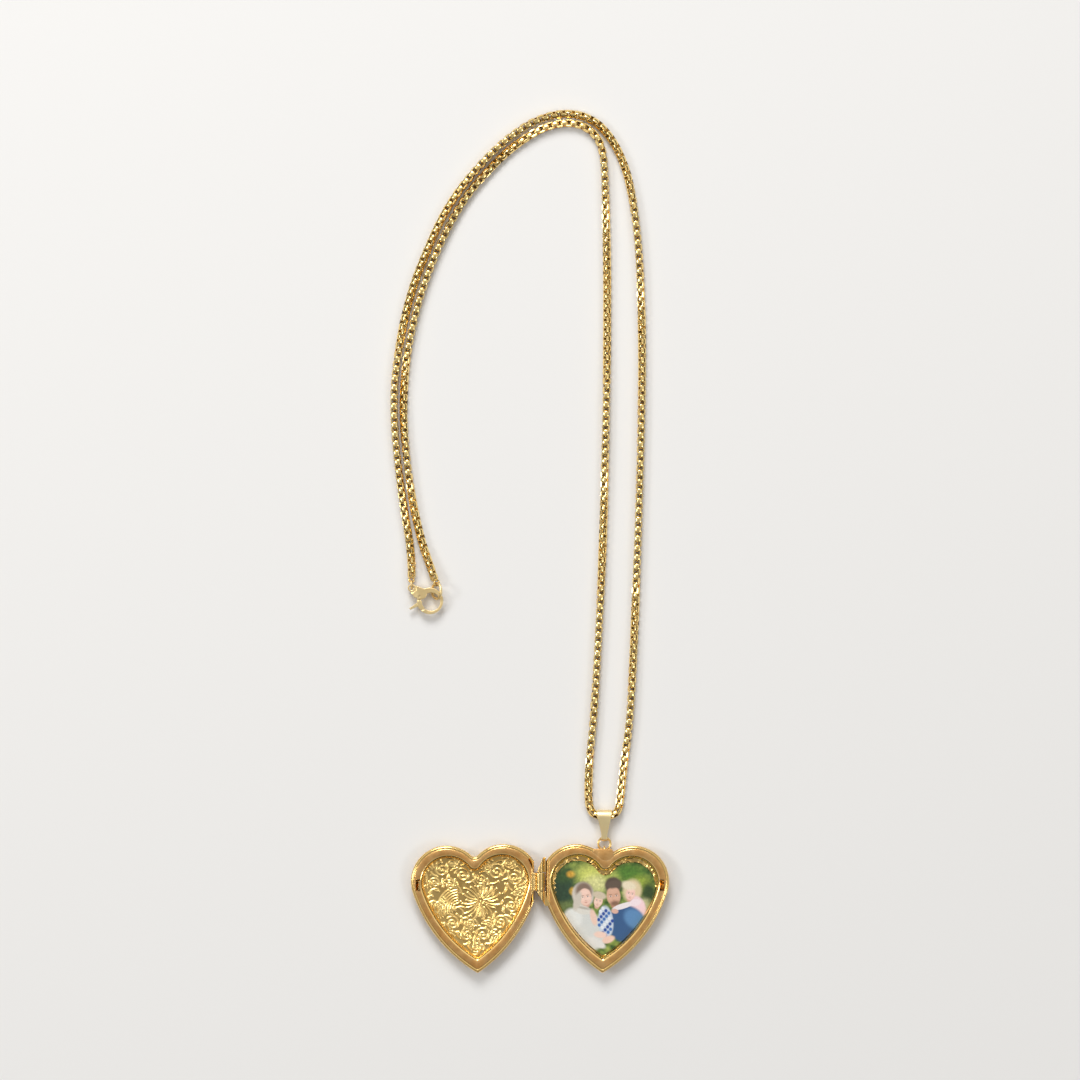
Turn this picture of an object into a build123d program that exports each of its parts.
from build123d import *
import math
import os

# Pendant necklace: an open heart locket lies flat beside its fastened chain.
# Millimetres. X runs along the open locket, Y from the locket towards the chain, Z up from the table.
# The origin is on the table, under the middle of the open locket with its ring and bail.

# ---- driving dimensions: locket ----
leaf_x = 14.5            # hinge axis to the centre line of a leaf
heart_half_width = 14.75
heart_lobe_r = 8.2
heart_side_r = 34.0      # the long sides bow outwards
heart_top = 8.4          # lobe tops above the hinge level
heart_tip = -21.07       # where the sides meet, before the tip is rounded
heart_notch = 5.7
heart_tilt = 1.6         # each heart leans this far away from the hinge at its top
heart_shift = -0.4       # and its axis stands this far from the leaf's centre line
tip_r = 0.5
flat_x = 13.15           # leaf centre line to the flat hinge side
recess_half_width = 11.95
recess_lobe_r = 5.8
recess_side_r = 29.0
recess_top = 5.6
recess_tip = -17.5
recess_notch = 2.45
dome_height = 2.2        # height at which the pressed side reaches the outline
dome_spread = 2.3
dome_steps = 6
edge_round = 0.15
leaf_depth = 3.0         # table to the rim plane
shell_lip = 2.75         # height of the shell's edge, below the rim plane
wall = 0.45
frame_plate = 0.35
frame_wall = 0.4
print_thickness = 0.2
print_gap = 0.15
tab_half_width = 2.4      # the tab over the jump ring, in the notch of the back leaf
tab_top = 7.55           # above the hinge level
tab_foot = 4.8
tab_bevel = 0.6
slot_x = 13.5            # leaf centre line to the middle of the catch slot
slot_y = -0.8
slot_size = (1.1, 2.6)
tongue_size = (0.3, 1.9)    # strip thickness and width
tongue_foot_reach = 0.4
tongue_lift = 0.75       # height of the tongue above the rim plane

# ---- driving dimensions: hinge ----
pin_z = leaf_depth + 0.08
pin_r = 0.4
bore_r = 0.44
barrel_r = 1.05
middle_knuckle = 4.1
side_knuckle_end = 5.6
pin_half = 3.3
web_low = 1.9
knuckle_gap = 0.15
strap_inner_x = -0.7     # how far the slanting ends of the straps reach past the pin
strap_cut = (1.2, 2.5, 3.5)   # slanted end of the lower strap: two x at its foot, one y at the leaf

# ---- driving dimensions: bail, jump ring and loop ----
bail_top = 16.4          # above the hinge level
bail_x = 14.8
bail_widths = (3.45, 1.4)
bail_strip = 0.3
bail_bore_r = 1.1
bail_bore_foot = (2.3, 0.18, 0.15)    # the bore's narrow end: above the eye, up from it, and its radius
bail_eye_r = 0.42
bail_eye_slack = 0.09    # the eye hangs this far inside the ring's mean circle
bail_shoulder = 0.6      # the taper starts this far above the middle of the chain
bail_neck = 1.0          # and ends this far above the middle of the eye
ring_wire_r = 0.25
ring_mean_r = 1.4
ring_y = 8.63            # above the hinge level
ring_z = 0.95
loop_wire_r = 0.22
loop_mean_r = 0.62
loop_slack = 0.03
loop_stem = 2.0
loop_stem_r = 0.3

# ---- driving dimensions: chain ----
chain_d = 1.75
chain_z = 0.9
bail_chain_z = 1.4
route_up = [             # clasp end, left side, over the top, down the right side
    (-29.5, 72.8, 1.17), (-29.5, 77.8), (-31.2, 87.4), (-32.6, 97.7), (-33.5, 107.1), (-33.6, 114.1),
    (-33.1, 120.6), (-31.6, 129.8), (-29.2, 139.2), (-25.4, 148.6), (-22.6, 154.7), (-19.0, 160.6),
    (-14.4, 166.2), (-9.2, 171.6), (-3.3, 176.0), (1.0, 177.9), (5.2, 178.8), (9.5, 178.4),
    (13.3, 176.5), (16.2, 173.3), (18.6, 169.0), (20.6, 163.1), (22.3, 152.5), (23.2, 140.5),
    (23.5, 124.4), (23.3, 108.3), (22.8, 89.9), (22.2, 71.5), (21.5, 55.4), (20.7, 39.3),
    (19.5, 30.4), (18.9, 25.2), (18.5, 21.4)]
route_bail = [(18.1, 18.65, 1.1), (16.7, 17.3, 1.4), (12.9, 17.3, 1.4), (11.5, 18.65, 1.1)]
route_down = [           # up the inner side, over the top, down to the ring end
    (11.1, 21.4), (11.15, 25.2), (11.4, 30.4), (12.3, 39.3), (13.3, 55.4), (14.1, 71.5), (14.8, 89.9),
    (15.2, 108.3), (15.4, 124.4), (15.45, 140.5), (15.3, 151.2), (15.1, 160.0), (14.8, 167.5),
    (14.0, 171.9), (12.2, 174.4), (9.5, 176.1), (6.4, 176.6), (3.3, 176.2), (-0.6, 174.8),
    (-6.7, 170.8), (-11.8, 165.8), (-16.3, 160.7), (-20.1, 154.7), (-23.6, 147.4), (-26.0, 141.3),
    (-28.1, 135.0), (-29.7, 128.1), (-30.8, 121.4), (-31.4, 114.1), (-31.4, 107.1), (-30.5, 97.7),
    (-29.1, 88.3), (-27.2, 80.2), (-25.8, 76.3, 1.3), (-24.4, 72.2, 1.8)]

# ---- driving dimensions: clasp and end ring ----
clasp_x, clasp_y = -25.3, 66.7
clasp_low = 0.8
clasp_thickness = 1.2
claw_r = 3.05
claw_bore_r = 2.1
claw_bore_shift = 0.35   # the bore is off centre, so that the claw thins towards its tip
eye_distance = 5.2
eye_angle = 145.0
eye_r = 0.85
eye_bore_r = 0.5
eye_thickness = 0.6
link_mean_r = 0.95
link_wire_r = 0.2
link_z = 1.17
end_eye_wire_r = 0.2
end_eye_play = 0.14
end_ring_mean_r = 1.8
end_ring_wire_r = 0.3
end_ring_x, end_ring_y, end_ring_z = -23.75, 69.0, 1.8
end_ring_lean = 35.0     # its plane leans this far from upright
clasp_pin_r = 0.22
clasp_play = 0.1
pivot_distance = 2.65
pivot_angle = 158.0
lever_reach = 3.1        # lever tip to its pin
heel_r = 0.7
heel_thickness = 0.5
arm_thickness = 0.8
lever_foot = ((-2.05, -0.3), (-2.9, -0.3))      # where the heel meets the arm
lever_spur = ((-2.8, -0.25), (-2.7, -1.25), (-4.45, -2.05), (-4.75, -1.7))
arm_angles = (180, 260)
mouth_angles = (168, 260)
hub_distance = 2.6
hub_r = 1.3
neck_half_width = 1.6
cheek_r = 0.6
slot_r = 1.12
eye_step = 0.35
pin_play = 0.03
spring_angles = (-10, 150)      # start and sweep
spring_r = 0.9
spring_wire_r = 0.09


def polar(radius, degrees):
    return radius * math.cos(math.radians(degrees)), radius * math.sin(math.radians(degrees))


def side_center(lobe_x, lobe_y, lobe_r, tip, side_r):
    """Centre of the long side's arc, which meets the lobe smoothly and passes through the tip."""
    reach = math.hypot(lobe_x, lobe_y - tip)
    across, down = -lobe_x / reach, (tip - lobe_y) / reach
    along = ((side_r - lobe_r) ** 2 - side_r ** 2 + reach ** 2) / (2 * reach)
    off = math.sqrt((side_r - lobe_r) ** 2 - along ** 2)
    return lobe_x + across * along + down * off, lobe_y + down * along - across * off


def heart(half_width, lobe_r, top, tip, notch, side_r, inset=0.0):
    """A heart of tangent arcs, moved inwards by inset, in its place on the leaf."""
    lobe_x, lobe_y = half_width - lobe_r, top - lobe_r
    drop = lobe_y - notch
    notch_r = (lobe_x ** 2 + drop ** 2 - lobe_r ** 2) / (2 * (lobe_r + drop))
    notch_y = notch + notch_r
    side_x, side_y = side_center(lobe_x, lobe_y, lobe_r, tip, side_r)
    lobe, notch_reach, side = lobe_r - inset, notch_r + inset, side_r - inset
    tip_y = side_y - math.sqrt((side - tip_r) ** 2 - side_x ** 2)

    def around(x, y, radius, angle):
        return x + radius * math.cos(angle), y + radius * math.sin(angle)

    join_angle = math.atan2(notch_y - lobe_y, -lobe_x)
    foot_angle = math.atan2(lobe_y - side_y, lobe_x - side_x)
    tip_angle = math.atan2(tip_y - side_y, -side_x)
    join = around(lobe_x, lobe_y, lobe, join_angle)
    crest = around(lobe_x, lobe_y, lobe, (join_angle + foot_angle) / 2)
    foot = around(lobe_x, lobe_y, lobe, foot_angle)
    belly = around(side_x, side_y, side, (foot_angle + tip_angle) / 2)
    tip_join = around(side_x, side_y, side, tip_angle)

    def left(point):
        return -point[0], point[1]

    edges = [
        ThreePointArc(tip_join, belly, foot),
        ThreePointArc(foot, crest, join),
        ThreePointArc(join, (0, notch_y - notch_reach), left(join)),
        ThreePointArc(left(join), left(crest), left(foot)),
        ThreePointArc(left(foot), left(belly), left(tip_join)),
        ThreePointArc(left(tip_join), (0, tip_y - tip_r), tip_join),
    ]
    return Pos(heart_shift, 0) * Rot(0, 0, heart_tilt) * Wire(edges)


def outer_heart(inset=0.0):
    return heart(heart_half_width, heart_lobe_r, heart_top, heart_tip, heart_notch, heart_side_r, inset)


def recess_heart(inset=0.0):
    return heart(recess_half_width, recess_lobe_r, recess_top, recess_tip, recess_notch, recess_side_r,
                 inset)


def stack(outline, levels):
    """A solid through the outline at each (height, inset)."""
    return loft([Pos(0, 0, z) * make_face(outline(inset)) for z, inset in levels], ruled=True)


def block(x0, x1, y0, y1, z0, z1):
    size = Box(x1 - x0, y1 - y0, z1 - z0, align=(Align.MIN, Align.MIN, Align.MIN))
    return Pos(x0, y0, z0) * size


def prism(points, z0, z1):
    return Pos(0, 0, z0) * extrude(make_face(Polyline(*points, close=True)), z1 - z0)


def rod(radius, length, axis="Z"):
    turn = {"X": Rot(0, 90, 0), "Y": Rot(90, 0, 0), "Z": Rot(0, 0, 0)}[axis]
    return turn * Cylinder(radius, length)


# ---- leaves, with the leaf's centre line at x = 0 and its hinge side towards +x ----
def dome_level(step):
    """Height and inset of the rounded back, a quarter of an ellipse in section."""
    angle = math.pi / 2 * step / dome_steps
    return dome_height * (1 - math.cos(angle)), dome_spread * (1 - math.sin(angle))


def leaf_body(skin):
    """The full leaf, or with a skin the space inside it."""
    levels = [(rise + skin, inset + skin) for rise, inset in map(dome_level, range(dome_steps + 1))]
    levels.append((shell_lip + skin, skin))
    return stack(outer_heart, levels) & block(-30, flat_x - skin, -30, 30, -1, 10)


def make_shell():
    return leaf_body(0.0) - leaf_body(wall)


def make_frame():
    low, shoulder = leaf_depth - frame_plate, leaf_depth - edge_round
    plate = stack(outer_heart, [(low, wall), (shoulder, wall), (leaf_depth, wall + edge_round)])
    plate = plate & block(-30, flat_x - wall, -30, 30, -1, 10)
    recess = stack(recess_heart, [(low - 1, 0), (shoulder, 0), (leaf_depth, -edge_round)])
    slot = Pos(-slot_x, slot_y, low) * Box(*slot_size, 2)
    wall_foot = wall + 0.15
    side = stack(recess_heart, [(wall_foot, -frame_wall), (low, -frame_wall)])
    bore = stack(recess_heart, [(wall_foot - 1, 0), (low + 1, 0)])
    return (plate - recess - slot) + (side - bore)


def make_tab():
    """The tab that covers the notch and the foot of the jump ring."""
    side, shoulder = tab_half_width, tab_top - tab_bevel
    outline = [(-side, tab_foot), (-side, shoulder), (tab_bevel - side, tab_top),
               (side - tab_bevel, tab_top), (side, shoulder), (side, tab_foot)]
    tab = prism(outline, shell_lip, leaf_depth)
    return tab - stack(recess_heart, [(shell_lip - 1, 0), (leaf_depth + 1, 0)])


def mirror_leaf(solid):
    return mirror(solid, about=Plane.YZ)


def back_leaf_body():
    return Pos(leaf_x, 0, 0) * mirror_leaf(leaf_body(0.0))


def place(solid, x):
    return Pos(x, hinge_y, 0) * solid


# ---- hinge, about the pin along Y at x = 0 ----
def barrel(y0, y1):
    return Pos(0, (y0 + y1) / 2, pin_z) * rod(barrel_r, y1 - y0, "Y")


def make_cover_knuckle():
    half = middle_knuckle / 2
    near, far = -(leaf_x - flat_x), -(leaf_x - flat_x + wall)
    web = block(near, 0, -half, half, web_low, pin_z)
    strap = block(far, 0, -half, half, shell_lip, leaf_depth)
    bore = Pos(0, 0, pin_z) * rod(bore_r, 20, "Y")
    return barrel(-half, half) + web + strap - bore


def make_back_knuckles(rim):
    start = middle_knuckle / 2 + knuckle_gap
    flat = leaf_x - flat_x
    end = side_knuckle_end
    cut_inner, cut_outer, cut_y = strap_cut
    upper = [(strap_inner_x, start), (flat, start), (flat, end), (-strap_inner_x, end)]
    lower = [(strap_inner_x, -start), (flat, -start), (flat, -cut_y), (cut_outer, -end), (cut_inner, -end)]
    bore = Pos(0, 0, pin_z) * rod(bore_r, 2 * pin_half + 0.1, "Y")
    knuckles = []
    for outline, y0, y1 in ((upper, start, end), (lower, -end, -start)):
        curl = barrel(y0, y1) & prism(outline, 0, 9)
        web = prism(outline, web_low, leaf_depth) & block(0, 9, -9, 9, 0, 9)
        knuckles.append(curl + web - bore - back_leaf_body() - rim)
    return knuckles


# ---- suspension ----
def teardrop(y0, z0, r0, y1, z1, r1, width):
    """A rod of two round ends with straight sides, along X."""
    reach = math.hypot(y1 - y0, z1 - z0)
    lean = math.atan2(z1 - z0, y1 - y0)
    spread = math.acos((r0 - r1) / reach)
    corners = []
    for angle in (lean + spread, lean - spread):
        corners.append([(y + r * math.cos(angle), z + r * math.sin(angle)) for y, z, r in
                        ((y0, z0, r0), (y1, z1, r1))])
    (a, b), (d, c) = corners
    side = Plane.YZ * make_face(Polyline(a, b, c, d, close=True))
    body = extrude(side, width / 2, both=True)
    for y, z, r in ((y0, z0, r0), (y1, z1, r1)):
        body += Pos(0, y, z) * rod(r, width, "X")
    return body


def make_bail():
    top_r = bail_bore_r + bail_strip
    chain_y = bail_top - top_r
    eye_y = ring_y + ring_mean_r - bail_eye_slack
    eye_outer = bail_eye_r + bail_strip
    wide, narrow = bail_widths
    body = teardrop(chain_y, bail_chain_z, top_r, eye_y, ring_z, eye_outer, wide)
    bore_foot = (eye_y + bail_bore_foot[0], ring_z + bail_bore_foot[1], bail_bore_foot[2])
    bore = teardrop(chain_y, bail_chain_z, bail_bore_r, *bore_foot, wide + 1)
    eye = Pos(0, eye_y, ring_z) * rod(bail_eye_r, wide + 1, "X")
    shoulder, neck, above = chain_y + bail_shoulder, eye_y + bail_neck, bail_top + 1
    right = [(wide / 2, above), (wide / 2, shoulder), (narrow / 2, neck), (narrow / 2, 0)]
    left = [(-x, y) for x, y in reversed(right)]
    return (body - bore - eye) & prism(right + left, -1, 9)


def make_loop():
    """A wire eye across the notch, on a short stem that meets the shell."""
    eye_y = ring_y - ring_mean_r + loop_slack
    eye = Pos(bail_x, eye_y, ring_z) * Rot(0, 90, 0) * Torus(loop_mean_r, loop_wire_r)
    stem_top = eye_y - loop_mean_r
    stem = Pos(bail_x, stem_top - loop_stem / 2, ring_z) * rod(loop_stem_r, loop_stem, "Y")
    return eye + stem - back_leaf_body()


# ---- chain ----
def full_point(point):
    return Vector(*point) if len(point) == 3 else Vector(*point, chain_z)


def rounded_route(points):
    """Straight runs joined by tangent arcs, each as large as its two runs allow."""
    edges, radii = [], []
    last = points[0]
    for before, corner, after in zip(points, points[1:], points[2:]):
        back, ahead = before - corner, after - corner
        half_turn = math.radians(180 - back.get_angle(ahead)) / 2
        setback = 0.45 * min(back.length, ahead.length)
        radius = setback / math.tan(half_turn)
        back, ahead = back.normalized(), ahead.normalized()
        start, end = corner + back * setback, corner + ahead * setback
        middle = corner + (back + ahead).normalized() * (radius / math.cos(half_turn) - radius)
        edges += [Line(last, start), ThreePointArc(start, middle, end)]
        radii.append(radius)
        last = end
    edges.append(Line(last, points[-1]))
    print("smallest radii:", sorted(round(radius, 1) for radius in radii)[:8])
    return Wire(edges)


def make_chain(route):
    tube = sweep(Plane(origin=route @ 0, z_dir=route % 0) * Circle(chain_d / 2), path=route)
    expected = math.pi * chain_d ** 2 / 4 * route.length
    print(f"chain length {route.length:.1f} mm, volume {tube.volume:.1f}, expected {expected:.1f}")
    return tube


def make_end_eye(face_point, center, hole_axis, hole_r):
    """A wire eye with a stem that meets the cut end of the chain."""
    mean_r = hole_r + end_eye_wire_r
    eye = Plane(origin=center, z_dir=hole_axis).location * Torus(mean_r, end_eye_wire_r)
    along = (face_point - center).normalized()
    stem_start = center + along * mean_r
    length = (face_point - stem_start).length
    stem = Plane(origin=stem_start, z_dir=along).location * Cylinder(
        end_eye_wire_r + 0.1, length, align=(Align.CENTER, Align.CENTER, Align.MIN))
    return eye + stem


# ---- clasp, about the middle of its claw ----
def claw_bore():
    shift_x, shift_y = polar(claw_bore_shift, eye_angle + 180)
    return Pos(shift_x, shift_y) * Circle(claw_bore_r)


def wedge(start, end):
    reach = 12
    middle = (start + end) / 2
    points = [(0, 0), polar(reach, start), polar(reach, middle), polar(reach, end)]
    return make_face(Polyline(*points, close=True))


def slab(sketch, thickness):
    """The sketch as a plate about the clasp's middle height."""
    height = clasp_low + clasp_thickness / 2
    return Pos(clasp_x, clasp_y, height) * extrude(sketch, thickness / 2, both=True)


def make_clasp_body():
    pivot = Pos(*polar(pivot_distance, pivot_angle))
    eye = Pos(*polar(eye_distance, eye_angle))
    hub = Pos(*polar(hub_distance, eye_angle - 5)) * Circle(hub_r)
    neck_side = [(hub_distance, neck_half_width), (eye_distance, eye_r)]
    other_side = [(x, -y) for x, y in reversed(neck_side)]
    neck = Rot(0, 0, eye_angle) * make_face(Polyline(*neck_side, *other_side, close=True))
    mouth = pivot * Circle(lever_reach + clasp_play) & wedge(*mouth_angles)
    claw = Circle(claw_r) + hub + neck - claw_bore() - mouth + pivot * Circle(cheek_r) + hub
    thick = slab(claw - eye * Circle(eye_r + eye_step), clasp_thickness)
    thin = slab(neck + eye * Circle(eye_r), eye_thickness)
    slot = slab(pivot * Circle(slot_r), heel_thickness + 2 * clasp_play)
    bores = slab(pivot * Circle(clasp_pin_r + pin_play) + eye * Circle(eye_bore_r), 2 * clasp_thickness)
    return thick + thin - slot - bores


def make_clasp_lever():
    px, py = polar(pivot_distance, pivot_angle)
    pivot = Pos(px, py)
    band = Circle(claw_r - 0.05) - claw_bore()
    arm = band & pivot * Circle(lever_reach) & wedge(*arm_angles)
    link = make_face(Polyline((px - 0.55, py), (px + 0.45, py), *lever_foot, close=True))
    spur = make_face(Polyline(*lever_spur, close=True))
    heel = pivot * Circle(heel_r) + link
    bore = pivot * Circle(clasp_pin_r + pin_play)
    lever = slab(arm, arm_thickness) + slab(spur, heel_thickness) + slab(heel, heel_thickness)
    return lever - slab(bore, 2 * clasp_thickness)


def make_clasp_pin():
    return slab(Pos(*polar(pivot_distance, pivot_angle)) * Circle(clasp_pin_r), clasp_thickness)


def make_clasp_spring():
    px, py = polar(pivot_distance, pivot_angle)
    bow = CenterArc((0, 0), spring_r, *spring_angles)
    wire = sweep(Plane(origin=bow @ 0, z_dir=bow % 0) * Circle(spring_wire_r), path=bow)
    return Pos(clasp_x + px, clasp_y + py, clasp_low + clasp_thickness / 2) * wire


# ---- assembly ----
lowest = outer_heart().bounding_box().min.Y
hinge_y = -(lowest + bail_top) / 2
print(f"hinge level y {hinge_y:.3f}")

route_points = [full_point(point) for point in route_up + route_bail + route_down]
route = rounded_route(route_points)

shell = make_shell()
frame = make_frame() - shell
back_rim = Pos(leaf_x, 0, 0) * mirror_leaf(frame + make_tab())
tongue_x = slot_x - slot_size[0] / 2 + 0.1 + tongue_size[0] / 2
tongue_foot = leaf_depth - frame_plate - tongue_size[0]
tongue = block(-tongue_x - tongue_size[0] / 2, -tongue_x + tongue_size[0] / 2,
               slot_y - tongue_size[1] / 2, slot_y + tongue_size[1] / 2,
               tongue_foot, leaf_depth + tongue_lift)
tongue += block(-tongue_x, -tongue_x + tongue_foot_reach,
                slot_y - tongue_size[1] / 2, slot_y + tongue_size[1] / 2,
                tongue_foot, tongue_foot + tongue_size[0])
picture = stack(recess_heart, [(wall, print_gap), (wall + print_thickness, print_gap)])
picture -= shell

eye_x, eye_y = polar(eye_distance, eye_angle)
link_center = Vector(clasp_x + eye_x, clasp_y + eye_y + 0.8, link_z)
link_top = link_center + Vector(0, link_mean_r, 0)

across = Vector(1, 0, 0)
lean = math.radians(end_ring_lean)
ring_axis = Vector(0, 1, 0)
ring_rise = across * math.sin(lean) + Vector(0, 0, math.cos(lean))
end_ring_center = Vector(end_ring_x, end_ring_y, end_ring_z)
ring_top = end_ring_center + ring_axis * end_ring_mean_r
ring_plane = Plane(origin=end_ring_center, z_dir=ring_axis.cross(ring_rise))

nodes = {
    "back_shell": place(mirror_leaf(shell), leaf_x),
    "back_rim_frame": Pos(0, hinge_y, 0) * back_rim,
    "back_knuckles": Pos(0, hinge_y, 0) * Compound(make_back_knuckles(back_rim)),
    "photo_print": place(mirror_leaf(picture), leaf_x),
    "hanging_loop": Pos(0, hinge_y, 0) * make_loop(),
    "cover_shell": place(shell, -leaf_x),
    "cover_rim_frame": place(frame, -leaf_x),
    "cover_knuckle": Pos(0, hinge_y, 0) * make_cover_knuckle(),
    "catch_tongue": place(tongue, -leaf_x),
    "hinge_pin": Pos(0, hinge_y, pin_z) * rod(pin_r, 2 * pin_half, "Y"),
    "hanging_ring": Pos(bail_x, hinge_y + ring_y, ring_z) * Torus(ring_mean_r, ring_wire_r),
    "bail": Pos(bail_x, hinge_y, 0) * make_bail(),
    "chain": make_chain(route),
    "left_end_link": make_end_eye(route @ 0, link_top + Vector(0, 0.08, 0), Vector(0, 0, 1),
                                  link_wire_r + end_eye_play),
    "right_end_link": make_end_eye(route @ 1, ring_top + Vector(0, 0.08, 0), ring_rise,
                                   end_ring_wire_r + end_eye_play),
    "clasp_link": Pos(*link_center) * Rot(0, 90, 0) * Torus(link_mean_r, link_wire_r),
    "clasp_body": make_clasp_body(),
    "clasp_lever": make_clasp_lever(),
    "clasp_pin": make_clasp_pin(),
    "clasp_spring": make_clasp_spring(),
    "end_ring": ring_plane.location * Torus(end_ring_mean_r, end_ring_wire_r),
}

os.makedirs("parts", exist_ok=True)
for name, shape in nodes.items():
    export_step(shape, f"parts/{name}.step")
    print(name, len(shape.solids()), round(shape.volume, 3))
